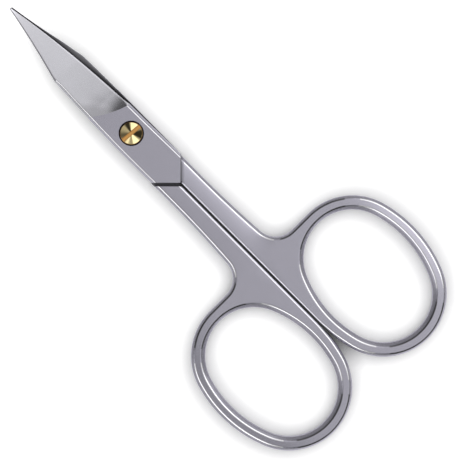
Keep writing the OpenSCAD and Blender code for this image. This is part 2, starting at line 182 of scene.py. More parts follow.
class StageSettings(bpy.types.PropertyGroup):
    """Floor, camera and lamps."""
    camera_height: length("Camera height", "Height of the camera over the scissors", 420.0)
    field: length("Field", "Width of the picture at the scissors", 79.24)
    face_height: length("Face height", "Height of the faces at which that width is measured", 3.1)
    centre_x: number("Centre X", "The picture's centre", -24.13 * MM, unit="LENGTH")
    centre_y: number("Centre Y", "The picture's centre", -0.32 * MM, unit="LENGTH")
    turn: number("Turn", "Turn of the scissors in the picture", math.radians(45.18), subtype="ANGLE")
    near_lamp: number("Right lamp", "Power of the lamp on the front half's side", 0.15, unit="POWER")
    far_lamp: number("Left lamp", "Power of the lamp on the back half's side", 0.15, unit="POWER")
    lamp_distance: length("Lamp distance", "From the shanks to the lamps", 700.0)
    sky: number("Sky", "Brightness of the soft light all round", 1.68)
    horizon: number("Horizon", "Brightness of the sky's low rim, as a share", 0.2)
    paper_glow: number("Paper glow", "White that the floor shows the camera on top of its light", 0.76)
    mirrored_glow: number("Mirrored glow", "Share of that glow which the metal mirrors", 0.5)
    floor: colour("Floor", "Colour of the floor", (0.85, 0.85, 0.85))
    # Painted shadow: how far the floor's darkening round the scissors reaches
    shade_reach: length("Shade reach", "How far the soft shade on the floor reaches", 3.3)


def mix(a, b, s):
    """a where s is zero, b where it is one, and straight in between."""
    return a + (b - a) * s


def clamp(s):
    """s held between zero and one."""
    return np.clip(s, 0.0, 1.0)


def share(x, a, b):
    """Zero where x is a, one where it is b."""
    return (x - a) / (b - a)


def bow(s):
    """Parabola that is zero at zero and one, and one in the middle."""
    return 4.0 * s * (1.0 - s)


def ease(s):
    """Smooth step from zero to one: three s squared less two s cubed."""
    s = clamp(s)
    return s * s * (3.0 - 2.0 * s)


def polar(a):
    """Unit vectors in the directions a."""
    return np.stack([np.cos(a), np.sin(a)], axis=-1)


# Quads across a rounded edge, and across the keener ones along the lap
ROUND_STEPS, LAP_STEPS = 3, 2


def fillet(before, corner, after, radius, steps=ROUND_STEPS):
    """Points that round a corner between two legs, all as (rows, axes) arrays. The curve is the
    quadratic one that leaves each leg at the radius from the corner, or at 0.4 of a shorter leg."""
    one, two = before - corner, after - corner
    one_length = np.linalg.norm(one, axis=-1, keepdims=True)
    two_length = np.linalg.norm(two, axis=-1, keepdims=True)
    reach = np.minimum(np.reshape(radius, (-1, 1)), 0.4 * np.minimum(one_length, two_length))
    start = (corner + one / one_length * reach)[:, None]
    end = (corner + two / two_length * reach)[:, None]
    t = np.linspace(0.0, 1.0, steps + 1)[None, :, None]
    return (1 - t) ** 2 * start + 2 * t * (1 - t) * corner[:, None] + t ** 2 * end


def inset_rows(ring, distance, wall_x, way, closed=True):
    """Rows that round the rim of a slanted wall. Each row moves the rim inward by the distance
    times one less the cosine, and towards the wall by its sine. wall_x gives the wall's x at y, and
    way is 1 for a piece that lies on the wall's +X side and -1 for one on its other side."""
    flat = ring[:, 1:]
    if closed:
        along = np.roll(flat, -1, axis=0) - np.roll(flat, 1, axis=0)
    else:
        along = np.gradient(flat, axis=0)
    inward = np.stack([-along[:, 1], along[:, 0]], axis=-1)
    inward /= np.linalg.norm(inward, axis=-1, keepdims=True)
    middle = flat.mean(axis=0)
    if np.sum(inward * (middle - flat)) < 0:
        inward = -inward
    rows = []
    for a in np.linspace(0.0, math.pi / 2, ROUND_STEPS + 1)[1:]:
        moved = flat + inward * distance * (1 - math.cos(a))
        x = wall_x(moved[:, 0]) + math.sqrt(2) * distance * (1 - math.sin(a)) * way
        rows.append(np.concatenate([x[:, None], moved], axis=1))
    return np.stack(rows)


# Finishes of a forged half, in the order of its material slots, and their materials. The lapped finish
# is also darkened as painted shade, and the last one is a painted highlight
BLASTED, GROUND, LAPPED_SHADE, PAINTED_HIGHLIGHT = range(4)
STEELS = ("satin_steel", "ground_steel", "lapped_shade_steel", "painted_highlight_steel")
# Points nearer than this are one point
MERGE = 0.0002 * MM


class Skin:
    """Patches of one piece: grids of quads and single faces, joined where their points meet."""

    def __init__(self):
        self.points, self.faces, self.finish, self.count = [], [], [], 0
        self.tone = BLASTED

    def add(self, points, faces, tones=None):
        """Takes points and the faces between them, with a finish each or all with the tone."""
        self.points.append(points.reshape(-1, 3))
        self.faces.extend(faces)
        self.finish.extend(tones or [self.tone] * len(faces))
        self.count += points.size // 3

    def grid(self, points, wrap=False, crease=(), crease_paint=PAINTED_HIGHLIGHT):
        """Quads between the rows and columns of a grid of points. The columns of quads that crease
        counts get the finish given for creases, a painted highlight or painted shade, which is one for
        all rows or one for each."""
        rows, columns = points.shape[:2]
        index = np.arange(rows * columns).reshape(rows, columns) + self.count
        if wrap:
            index = np.concatenate([index, index[:, :1]], axis=1)
        quads = np.stack([index[:-1, :-1], index[1:, :-1], index[1:, 1:], index[:-1, 1:]], axis=-1)
        tones = np.full(quads.shape[:2], self.tone)
        tones[:, list(crease)] = np.reshape(crease_paint, (-1, 1))
        self.add(points, quads.reshape(-1, 4).tolist(), tones.ravel().tolist())

    def face(self, *parts):
        """One flat face through runs of points, taken one after another."""
        points = np.concatenate(parts)
        self.add(points, [list(range(self.count, self.count + len(points)))])

    def mesh(self, name, place):
        """Merges the patches' common points, turns the faces outward and puts them in a mesh."""
        mesh = bpy.data.meshes.new(name)
        mesh.from_pydata(place(np.concatenate(self.points)), [], self.faces)
        mesh.polygons.foreach_set("material_index", np.array(self.finish, np.int32))
        work = bmesh.new()
        work.from_mesh(mesh)
        bmesh.ops.remove_doubles(work, verts=work.verts, dist=MERGE)
        loose = sum(1 for edge in work.edges if len(edge.link_faces) != 2)
        if loose:
            raise RuntimeError(f"{name} isn't closed: {loose} loose edges")
        bmesh.ops.recalc_face_normals(work, faces=work.faces)
        work.to_mesh(mesh)
        work.free()
        return mesh


def run_out(s):
    """What is left of the plate's height at the share s of the run-out: (1 - s) cubed."""
    return (1.0 - clamp(s)) ** 3


# Points round half of a screw hole
HALF_TURN = 65
# Edge break round the screw's holes
RIM_BREAK = 0.04 * MM
# What is left of the last profile's size at the very tip
TIP_BLUNT = 0.3
# The widest bevel or facet, as a share of the blade's width there
BEVEL_LIMIT = 0.3
# Share of the run-out's length that its soft start takes, on the cutting side and on the back's, and
# the shares of the blade's width between which the crease turns into the soft start
SOFT_LENGTHS, SOFT_WIDTHS = (0.5, 0.62), (0.3, 0.7)
# The back's bevel narrows over this length, which ends this far past the kink
BREAK_FADE, BREAK_PAST = 2.2 * MM, 0.9 * MM


class BladeLines:
    """Lines of one half's plate and blade in its own frame: the lap plane is z = 0, the handle
    lies towards -Y and the blade points along +X. side is 1 for the front half, -1 for the back."""

    def __init__(self, b, side):
        self.b, self.side = b, side
        self.corner = b.joint_half_width - b.arrow_reach
        self.lap = b.lap_gap / 2
        self.ridge_x = b.ricasso_reach + b.plunge_lean
        self.step = b.step_share * b.plunge_length

    def sideways(self, x):
        """Sideways lean: in proportion to the reach, and eased apart towards the back half's tip."""
        b = self.b
        lean = b.tip_offset * clamp(share(x, 0.0, b.blade_reach))
        if self.side < 0:
            lean = lean + b.tip_apart * ease(share(x, b.kink_reach, b.kink_reach + b.apart_length))
        return -self.side * lean

    def spine(self, x):
        """Back of the blade: a bulged line to the kink and a hollow one to the tip, joined by a
        smooth minimum of the two."""
        b = self.b
        t, u = share(x, self.corner, b.kink_reach), share(x, b.kink_reach, b.blade_reach)
        body = mix(b.joint_half_width, b.kink_half_width, t) + b.spine_bulge * bow(t)
        tower = mix(b.kink_half_width, b.tip_width / 2, u) - b.tower_hollow * bow(u)
        r = b.kink_round * clamp(t)
        least = (body + tower) / 2 - np.sqrt((body - tower) ** 2 / 4 + r * r)
        return np.where(x <= self.corner, b.joint_half_width, self.sideways(x) + least)

    def edge(self, x):
        """Cutting side: a straight flank along the plate, then the bellied cutting edge."""
        b = self.b
        along = clamp(share(x, self.corner, b.ricasso_reach))
        flank = -mix(b.joint_half_width, b.ricasso_half_width, along)
        s = share(np.maximum(x, b.ricasso_reach), b.ricasso_reach, b.blade_reach)
        cutting = -mix(b.edge_half_width, b.tip_width / 2, s) - b.edge_belly * bow(s)
        left = run_out(share(x, b.ricasso_reach, b.ricasso_reach + self.step))
        return self.sideways(x) + mix(cutting, flank, left)

    def rise(self, x):
        """Lengthwise curve: it rises with the square of the way from its start to the tip."""
        return self.b.tip_rise * np.maximum(0.0, share(x, self.b.curve_start, self.b.blade_reach)) ** 2

    def back_bevel(self, x, w):
        """The back's bevel keeps its width to the kink and then fades into a thin edge break."""
        b = self.b
        full = mix(b.spine_break, b.bevel_width, ease((b.kink_reach + BREAK_PAST - x) / BREAK_FADE))
        return np.minimum(full, BEVEL_LIMIT * w)


def blade_rows():
    """Stations along a half, each a stretch and a share of it: joint plate, run-out, body, tower.
    The run-out's even shares are raised to the power 1.3, so that they crowd at its start."""
    parts = [(0, np.linspace(0, 1, 16)), (1, np.linspace(0, 1, 41)[1:] ** 1.3),
             (2, np.linspace(0, 1, 15)[1:]), (3, np.linspace(0, 1, 45)[1:])]
    return (np.concatenate([np.full(len(t), k) for k, t in parts]),
            np.concatenate([t for _, t in parts]))


def blade_skin(skin, b, screw, side):
    """Joint plate and blade: a closed profile carried from the arrow-shaped rear to the tip. The
    rows slant with the arrow at the rear, with the leaning run-out, and are straight at the tip."""
    lines = BladeLines(b, side)
    # Each row's stretch and its share of that stretch, as columns
    kind, t = (a[:, None] for a in blade_rows())
    wall_in = math.sqrt(2) * b.wall_round
    end_x = b.blade_reach - b.tip_round

    def first_x(v):
        """Where the run-out starts: it leans towards the tip with the share v to the power 1.4."""
        return b.ricasso_reach + b.plunge_lean * np.power(np.maximum(v, 0.0), 1.4)

    def row_x(v):
        """X of each row at the share v from the cutting side to the back."""
        arrow = -b.arrow_reach + np.abs(mix(-b.joint_half_width, b.joint_half_width, v)) + wall_in
        first = first_x(v)
        return np.select(
            [kind == 0, kind == 1, kind == 2],
            [mix(arrow, first, t), first + b.plunge_length * t,
             mix(first + b.plunge_length, b.kink_reach, t)],
            mix(b.kink_reach, end_x, t))

    def place(v, z):
        """Points at the share v and the height z, which the lengthwise curve lifts."""
        x = row_x(v)
        return np.stack([x, mix(lines.edge(x), lines.spine(x), v), z + side * lines.rise(x)], axis=-1)

    # How much is left of the plate's height, and of the width of the bevel along the cutting side
    left = np.where(kind == 0, 1.0, np.where(kind == 1, run_out(t), 0.0))
    flank = np.where(kind == 0, 1.0, np.where(kind == 1, run_out(t / b.step_share), 0.0))
    zero, one = np.zeros_like(t), np.ones_like(t)
    x_edge, x_spine = row_x(zero), row_x(one)
    w_edge = lines.spine(x_edge) - lines.edge(x_edge)
    w_spine = lines.spine(x_spine) - lines.edge(x_spine)
    back = lines.back_bevel(x_spine, w_spine)
    low = mix(np.minimum(b.facet_width, BEVEL_LIMIT * w_edge), b.bevel_width, flank) / w_edge
    high = 1 - back / w_spine

    def ridge(x):
        """Height of the ground face at the back: it falls in a straight line to the tip."""
        return mix(b.plate_thickness, b.tip_thickness, clamp(share(x, lines.ridge_x, b.blade_reach)))

    def height(v):
        """What is left of the plate's height at the share v from the cutting side to the back: the
        run-out starts at a crease on the cutting side and softly, and lasts longer, on the back's."""
        soft = np.where(kind == 1, 1 - ease(t / mix(*SOFT_LENGTHS, v)), left)
        return mix(left, soft, ease(share(v, *SOFT_WIDTHS)))

    def face(u):
        """Outer face at the share u between its bevels: the plate's flat that turns into the wedge."""
        v = mix(low, high, u)
        high_side = ridge(row_x(v))
        ground = high_side - np.minimum(high_side - b.edge_thickness, b.steepest * w_spine) * (1 - u)
        return place(v, mix(ground, b.plate_thickness, height(v)))

    def inner(v):
        """Inner face: a hollow across the blade that is a parabola and starts with the run-out."""
        deep = b.hollow_depth * clamp(share(row_x(v), first_x(v), first_x(v) + lines.step))
        deep = deep * w_spine / (2 * b.joint_half_width)
        return place(v, lines.lap + deep * bow(v))

    across = np.linspace(0, 1, 19)[1:-1]
    faces, inners = face(across[None, :] * one), inner((1 - across)[None, :] * one)
    at_edge, at_spine = place(zero, lines.lap * one)[:, 0], place(one, lines.lap * one)[:, 0]
    keen, plate_side = b.keen_thickness + lines.lap, b.plate_thickness - b.bevel_width
    edge_top = place(zero, mix(keen * one, plate_side * one, left))[:, 0]
    spine_z = mix(ridge(x_spine), b.plate_thickness * one, height(one)) - back
    spine_top = place(one, spine_z)[:, 0]
    low_line, high_line = face(zero)[:, 0], face(one)[:, 0]
    # Rounding of the outer face's edges, of the edges of the sides, and along the lap
    soft, firm, slight = (part * b.edge_round * np.ones(len(t)) for part in (1.0, 0.8, 0.4))
    columns = [
        fillet(inners[:, -1], at_edge, edge_top, slight, LAP_STEPS),
        fillet(at_edge, edge_top, low_line, firm),
        fillet(edge_top, low_line, faces[:, 0], soft),
        faces,
        fillet(faces[:, -1], high_line, spine_top, soft),
        fillet(high_line, spine_top, at_spine, firm),
        fillet(spine_top, at_spine, inners[:, 0], slight, LAP_STEPS),
        inners,
    ]
    g = np.concatenate(columns, axis=1)
    sizes = np.cumsum([c.shape[1] for c in columns])
    # Columns where the outer face starts, where it ends and where the inner one starts, and the
    # middle columns of both
    c0, c1, c2 = sizes[2] - 1, sizes[3], sizes[6] - 1
    middle, under = sizes[2] + len(across) // 2, sizes[6] + len(across) // 2
    g = np.concatenate([g, g[:, :1]], axis=1)
    # Rows where the plate ends and where the back has its kink
    p, kink = int(np.sum(kind == 0)) - 1, int(np.sum(kind < 3)) - 1

    skin.tone = BLASTED
    # Creases along the bevels of plate and blade take the painted highlight, the default for creases
    low_crease = range(sizes[1], sizes[2] - 1)
    high_crease = range(sizes[3] - c1, sizes[4] - 1 - c1)
    skin.grid(g[:p + 1, :c0 + 1], crease=low_crease)
    skin.grid(g[:p + 1, c1:c2 + 1], crease=high_crease)
    skin.tone = GROUND
    skin.grid(g[p:, :c0 + 1])
    skin.grid(g[p:, c0:c1 + 1])
    skin.grid(g[p:kink + 1, c1:c2 + 1], crease=high_crease)
    # The thin edge break between kink and tip gets the dark lapped colour as painted shade
    skin.grid(g[kink:, c1:c2 + 1], crease=range(sizes[4] + 1 - c1), crease_paint=LAPPED_SHADE)
    # Inner faces: lapped, with a dark colour as painted shade
    skin.tone = LAPPED_SHADE
    skin.grid(g[p:, c2:])

    # Rounded tip: the last profile shrinks towards its middle as it moves on
    end = g[-1, :-1]
    heart = end.mean(axis=0)
    turn = np.linspace(0, math.pi / 2, 6)[:, None, None]
    tip = heart + (end - heart) * mix(TIP_BLUNT, 1.0, np.cos(turn))
    tip[..., 0] += b.tip_round * np.sin(turn[..., 0])
    skin.grid(tip, wrap=True)
    skin.face(tip[-1])

    # Slanted rear walls with their rim rounded, in the dark lapped colour as painted shade
    skin.tone = LAPPED_SHADE
    rear = inset_rows(g[0, :-1], b.wall_round, lambda y: np.abs(y) - b.arrow_reach, 1)
    skin.grid(np.concatenate([g[:1, :-1], rear]), wrap=True)
    skin.face(rear[-1, under:], rear[-1, :middle + 1])
    skin.face(rear[-1, middle:under + 1])

    # Flats of the plate round the screw
    skin.tone = BLASTED

    def circle(radius, z, first, last):
        """Points of an arc round the pivot, from the first direction to the last, in degrees."""
        a = np.radians(np.linspace(first, last, HALF_TURN))
        return np.concatenate([radius * polar(a), np.full((len(a), 1), z)], axis=1)

    def flat(radius, z, start, mid, stop, half_turn):
        """Two faces that leave a round hole: each has the rear row, half of the hole's rim, the
        run-out row and a side. half_turn is 180 degrees, or -180 on the inner side."""
        skin.face(g[0, start:mid + 1], circle(radius, z, 180, 180 + half_turn),
                  g[p, mid:start - 1:-1], g[p - 1:0:-1, start])
        skin.face(g[0, mid:stop + 1], g[1:p, stop], g[p, stop:mid - 1:-1],
                  circle(radius, z, 180 - half_turn, 180))

    # Holes for the screw, with their rims broken; only the front half has a recess
    top, rim = b.plate_thickness, RIM_BREAK
    bore, recess, seat = screw
    wide = recess or bore
    flat(wide + rim, top, c0, middle, c1, 180)
    # The lap's flat round the hole takes the lapped colour with its painted shade
    skin.tone = LAPPED_SHADE
    flat(bore + rim, lines.lap, c2, under, g.shape[1] - 1, -180)
    skin.tone = BLASTED
    turns = [(wide + rim, top), (wide + 0.3 * rim, top - 0.3 * rim), (wide, top - rim)]
    if recess:
        turns += [(recess, seat), (bore, seat)]
    turns += [(bore, lines.lap + rim), (bore + 0.3 * rim, lines.lap + 0.3 * rim),
              (bore + rim, lines.lap)]
    skin.grid(np.stack([np.concatenate([circle(r, z, 0, 180), circle(r, z, 180, 360)[1:]])
                        for r, z in turns]))


class Oval:
    """A finger hole and what follows it: two end arcs and two side arcs with common tangents."""

    def __init__(self, h):
        r, step = h.hole_end_radius, h.hole_length / 2 - h.hole_end_radius
        # Radius of the side arcs, and the angle at which they meet the end arcs
        self.side = (step ** 2 + h.hole_width ** 2 / 4 - r ** 2) / (h.hole_width - 2 * r)
        side_step = self.side - h.hole_width / 2
        self.join = math.atan2(side_step, step)
        tilt, gap = h.ring_tilt, h.parting_gap / 2
        self.middle = np.array([
            step * math.cos(tilt) + r + h.wire_width - h.handle_reach,
            gap - h.ring_flat + self.side + h.wire_width - side_step * math.cos(tilt)])
        along, across = polar(np.array(tilt)), polar(np.array(tilt + math.pi / 2))
        self.front, self.far = self.middle + step * along, self.middle - step * along
        self.outer, self.inner = self.middle - side_step * across, self.middle + side_step * across
        # Direction in which the wire's outer line reaches the flat beside the other ring
        self.flat = math.pi - math.asin((gap - self.inner[1]) / (self.side + h.wire_width))


# Length of the flats into which the outermost roundings of a strip lead
FLAT_LEG = 1.0 * MM


def wire_profile(width, depth, half, lap, radius):
    """Profile along the outline, as (offset inward, height): lower flat, bevel, wall, bevel, upper
    flat. The edges are rounded by the radius, or by 0.45 of a smaller bevel. The middle column lies
    on the lap plane."""
    zero = np.zeros_like(width)
    far = width + FLAT_LEG

    def at(o, z):
        """Points at the offsets o and the height z, one for each station."""
        return np.stack([o, z * np.ones_like(width)], axis=-1)

    low, high = at(zero, -(half - depth)), at(zero, half - depth)
    under, over = at(width, -half), at(width, half)
    mid = at(zero, lap)
    reach = np.minimum(radius, 0.45 * np.minimum(width, depth))
    return np.concatenate([
        fillet(at(far, -half), under, low, reach),
        fillet(under, low, mid, reach),
        mid[:, None],
        fillet(mid, high, over, reach),
        fillet(high, over, at(far, half), reach),
    ], axis=1)


# X where a shank starts at the shoulder, on its outer side and along the parting gap, and where the
# straight start of the outline is answered on the gap's side
OUTER_START, GAP_START, GAP_STRAIGHT = -9.5 * MM, -12.9 * MM, -13.4 * MM
# X between which the shank's crown grows towards the plate
CROWN_RISE = -31.0 * MM, -25.0 * MM
# X between which the ring's bevel turns into the gap's edge break, and where its depth starts to
BREAK_TURN, DEPTH_TURN = (-50.6 * MM, -45.0 * MM), -52.5 * MM
# X from the outline's stations to those along the gap, at the ends of waist, neck and rise, behind
# the crossing of the ring, and at the end of the arc in front of the finger hole
GAP_SHIFTS = 0.0, -0.15 * MM, -0.5 * MM, -0.35 * MM, 0.0
# A crease keeps its painted highlight unless the outline leans to the scissors' length by more than the
# first sine; then it is dull, and by more than the second it gets painted shade
DULL_LEAN, DARK_LEAN = 0.62, 0.8
# How far the shank's upper layer reaches into its own plate
ROOT_DEPTH = 0.05 * MM
# Stations along the arc of the ring in front of the finger hole, on either side
FRONT_STATIONS = 30
# Stations of the ring's outer line after which its bevel is no wider, and no deeper, than at the gap
PAST_END, BESIDE = 100, 120


def handle_skin(skin, b, h, side):
    """Shank and ring, drawn with the ring on +Y: a bevelled profile carried along the outline and
    round the finger hole, with ruled faces between them. The shank ends at the shoulder; the layer
    of its own plate runs on into that plate."""
    oval = Oval(h)
    half, lap, gap = h.thickness / 2, b.lap_gap / 2, h.parting_gap / 2
    wall_in = math.sqrt(2) * b.wall_round
    tau, tilt = 2 * math.pi, h.ring_tilt

    # Outline of the shank: straight, waist, neck fillet and the short rise to the ring
    front_x = oval.front[0] + h.hole_end_radius + h.wire_width
    neck_x = front_x + h.neck_radius
    waist = np.array([-h.waist_reach, h.shank_half_width + h.waist_radius])
    waist_turn = math.asin((-h.waist_reach - neck_x) / (h.waist_radius - h.neck_radius))
    neck = np.array([neck_x, waist[1] - (h.waist_radius - h.neck_radius) * math.cos(waist_turn)])
    start = np.linspace(OUTER_START, -h.waist_reach, 8)
    a_waist = 1.5 * math.pi - np.linspace(0, waist_turn, 22)[1:]
    a_neck = np.linspace(1.5 * math.pi - waist_turn, math.pi, 26)[1:]
    rise = np.linspace(neck[1], oval.front[1], 9)[1:-1]
    path = np.concatenate([
        np.stack([start, np.full_like(start, h.shank_half_width)], axis=-1),
        waist + h.waist_radius * polar(a_waist),
        neck + h.neck_radius * polar(a_neck),
        np.stack([np.full_like(rise, front_x), rise], axis=-1)])
    inward = np.concatenate([
        np.tile([0.0, -1.0], (len(start), 1)), polar(a_waist), polar(a_neck),
        np.tile([-1.0, 0.0], (len(rise), 1))])

    # Arcs round the ring where outline and finger hole run side by side, and the rest of the hole:
    # centre, radius, first and last direction, stations
    end_r, join, back = h.hole_end_radius, oval.join, tilt + math.pi
    arcs = [(oval.front, end_r, 0.0, tilt + join, FRONT_STATIONS),
            (oval.outer, oval.side, tilt + join, back - join, 24),
            (oval.far, end_r, back - join, back + join, 60),
            (oval.inner, oval.side, back + join, oval.flat, 12)]
    rest = [(oval.inner, oval.side, oval.flat, tilt + tau - join, 14),
            (oval.front, end_r, tilt + tau - join, tau, FRONT_STATIONS)]

    def stations(parts, last):
        """Directions, centres and radii along arcs, with the end of the last one where asked."""
        a = np.concatenate([np.linspace(p[2], p[3], p[4], endpoint=False) for p in parts])
        c = np.concatenate([np.tile(p[0], (p[4], 1)) for p in parts])
        r = np.concatenate([np.full(p[4], p[1]) for p in parts])
        if last:
            centre, radius, _, end, _ = parts[-1]
            a, c, r = np.append(a, end), np.vstack([c, centre]), np.append(r, radius)
        return a, c, r

    a_side, c_side, r_side = stations(arcs, True)
    a_rest, c_rest, r_rest = stations(rest, False)
    count, n_path = len(a_side), len(path)

    def outer_width(a):
        """Width of the ring's outer bevel in the direction a: straight steps between places, full on
        the outer side and thin at the far end."""
        full, thin = h.outer_bevel, h.far_bevel
        return np.interp(np.degrees(a), [0, 60, 90, 120, 165, 180, 200, 225, 270],
                         [full, 1.12 * full, 1.12 * full, 1.05 * full, 1.1 * thin, thin, 1.1 * thin,
                          full, 0.95 * full])

    def hole_width(a):
        """Width of the bevel round the finger hole: straight steps, narrower towards the shank."""
        return h.hole_bevel * np.interp(np.degrees(a) % 360, [0, 40, 80, 180, 280, 320, 360],
                                        [0.7, 0.9, 1.02, 0.97, 1.02, 0.9, 0.7])

    def gap_width(x, slope=1.0):
        """Width along the gap: the ring's bevel, eased into the edge break times the slope."""
        thin = h.gap_break if side > 0 else h.back_gap_break
        return mix(0.95 * h.outer_bevel, slope * thin, ease(share(x, *BREAK_TURN)))

    def fall(u, a):
        """Fall of the ring's face at the distance u from the hole: a slope that goes with the sine
        of the direction a on the outer side."""
        slope = (h.ring_fall if side > 0 else h.back_ring_fall) * np.maximum(0.0, np.sin(a))
        return slope[:, None] * np.maximum(0.0, u - h.hole_bevel)

    def crown(points):
        """Fall of the shank's face: a parabola from the gap to the outer side."""
        deepest = h.front_crown if side > 0 else h.back_crown
        fade = ease(share(points[..., 0], *CROWN_RISE))
        return deepest * fade * clamp(share(points[..., 1], gap, h.shank_half_width)) ** 2

    def carried(path, inward, profile, drop=None):
        """The profile's offsets laid along the inward normals. Its heights shrink by the share that
        the drop has of half the thickness; where no drop is given it is the crown's."""
        xy = path[:, None] + inward[:, None] * profile[..., :1]
        z = profile[..., 1:]
        made = np.concatenate([xy, z], axis=-1)
        lowered = crown(made) if drop is None else drop
        made[..., 2] *= 1 - lowered / half
        return made

    # Outer strip along shank and ring
    outline = np.concatenate([path, c_side + (r_side + h.wire_width)[:, None] * polar(a_side)])
    normals = np.concatenate([inward, -polar(a_side)])
    width = np.concatenate([np.full(n_path, h.outer_bevel), outer_width(a_side)])
    depth = np.full_like(width, h.outer_bevel_depth)
    x_flat = outline[-1, 0]
    width[-1] = gap_width(x_flat)
    # Past the ring's far end and beside the other ring the bevel turns into that of the gap
    station = np.arange(len(width)) - n_path
    blend = ease(share(outline[:, 0], DEPTH_TURN, x_flat)) * (station > BESIDE)
    depth = mix(depth, np.minimum(depth, gap_width(x_flat)), blend)
    width = np.where(station > PAST_END, np.minimum(width, gap_width(outline[:, 0])), width)
    profile = wire_profile(width, depth, half, lap, h.edge_round)
    drop = np.zeros(profile.shape[:2])
    drop[n_path:] = fall(h.wire_width - profile[n_path:, :, 0], a_side)
    outer = carried(outline, normals, profile, 0)
    drop = drop + crown(outer)
    outer[..., 2] *= 1 - drop / half
    columns = outer.shape[1]
    middle = columns // 2

    # Strip round the finger hole
    a_hole = np.concatenate([a_side, a_rest])
    c_hole, r_hole = np.concatenate([c_side, c_rest]), np.concatenate([r_side, r_rest])
    w_hole = hole_width(a_hole)
    d_hole = np.full_like(w_hole, h.hole_bevel_depth)
    hole = carried(c_hole + r_hole[:, None] * polar(a_hole), polar(a_hole),
                   wire_profile(w_hole, d_hole, half, lap, h.edge_round), 0)
    skin.tone = BLASTED
    creases = [*range(ROUND_STEPS), *range(columns - 1 - ROUND_STEPS, columns - 1)]

    def crease_paint(normals):
        """Creases get a painted highlight where they run along the scissors, then are dull, and get
        painted shade across.
        """
        lean = np.abs(normals[:, 0])
        return np.select([lean < DULL_LEAN, lean < DARK_LEAN], [PAINTED_HIGHLIGHT, BLASTED], LAPPED_SHADE)

    skin.grid(np.concatenate([hole, hole[:1]]), crease=creases, crease_paint=crease_paint(polar(a_hole)))

    # Lower (0) and upper (-1) face of the ring between the two strips
    across = np.linspace(0, 1, 9)

    def ruled(near, far):
        """Straight rows from one line to the other."""
        return mix(near[:, None], far[:, None], across[None, :, None])

    ring_faces = {end: ruled(outer[n_path:, end], hole[:count, end]) for end in (0, -1)}
    for sheet in ring_faces.values():
        skin.grid(sheet)

    # Gap strip: its stations answer those of the outline and of the finger hole's near side
    def far_line(end):
        """Outer side of a shank's face: outline, crossing of the ring, near side of the hole."""
        cross = ring_faces[end][0, 1:-1]
        back = np.concatenate([hole[:1, end], hole[:count - 1:-1, end], hole[count - 1:count, end]])
        return np.concatenate([outer[:n_path + 1, end], cross, back])

    line = far_line(-1)
    n_start, n_neck = len(start), len(start) + len(a_waist)
    crossed = n_path + len(across) - 1
    marks = [n_neck - 1, n_neck + len(a_neck) - 1, n_path, crossed, crossed + FRONT_STATIONS]
    near_hole, last = slice(marks[0], marks[-1] + 1), marks[-1]
    x_gap = line[:, 0].copy()
    steps = np.concatenate([[0.0], np.cumsum(np.linalg.norm(np.diff(line[:, :2], axis=0), axis=1))])
    x_gap[near_hole] = np.interp(steps[near_hole], steps[marks], line[marks, 0] + GAP_SHIFTS)
    even = np.linspace(line[last, 0], x_flat, len(line) - last)
    x_gap[last:] = mix(line[last:, 0], even, np.linspace(0, 1, len(even)))
    x_gap[:n_start] = np.linspace(GAP_START, GAP_STRAIGHT, n_start)
    x_gap[n_start:n_neck] = np.linspace(GAP_STRAIGHT, line[n_neck - 1, 0], n_neck - n_start + 1)[1:]
    gap_path = np.stack([x_gap, np.full_like(x_gap, gap)], axis=-1)
    breaks = gap_width(x_gap), gap_width(x_gap, h.break_slope)
    strip = carried(gap_path, np.tile([0.0, 1.0], (len(x_gap), 1)),
                    wire_profile(*breaks, half, lap, h.edge_round))
    strip[-1] = outer[-1]

    # The shank's end: the shoulder is a slanted wall, and the upper layer runs on into the plate
    def shoulder(y):
        """X of the shoulder: a wall at 45 degrees, the gap behind the other plate's rear end."""
        return y - side * h.parting_offset - b.arrow_reach - math.sqrt(2) * b.shoulder_gap

    def plate_wall(y):
        """X of the upper layer's end, a little inside its own plate's rear end."""
        return y - side * h.parting_offset - b.arrow_reach + ROOT_DEPTH

    for s in (outer, strip):
        s[0, :, 0] = shoulder(s[0, :, 1]) - wall_in
    skin.grid(outer, crease=creases, crease_paint=crease_paint(normals[:-1]))
    skin.grid(strip, crease=creases)
    faces = {}
    for end in (0, -1):
        sheet = ruled(strip[:, end], far_line(end))
        inside = sheet[:, 1:-1]
        inside[..., 2] = (half - crown(inside)) * (-1 if end == 0 else 1)
        sheet[-1] = ring_faces[end][-1]
        faces[end] = sheet
        skin.grid(sheet)

    rim = np.concatenate([outer[0, middle::-1], faces[0][0, -2:0:-1], strip[0, :middle + 1]])
    rows = inset_rows(rim, b.wall_round, shoulder, -1, closed=False)
    # The shoulder's slanted wall gets the dark lapped colour as painted shade
    skin.tone = LAPPED_SHADE
    skin.grid(np.concatenate([rim[None], rows]))
    skin.face(rows[-1])
    skin.tone = BLASTED
    upper = np.concatenate([outer[0, middle:], faces[-1][0, -2:0:-1], strip[0, :middle - 1:-1]])
    root = upper.copy()
    root[:, 0] = plate_wall(root[:, 1])
    skin.grid(np.stack([upper, root]))
    skin.face(root)
    skin.face(root[:1], rim[:1], rows[:, 0], rows[::-1, -1], rim[-1:], root[-1:])


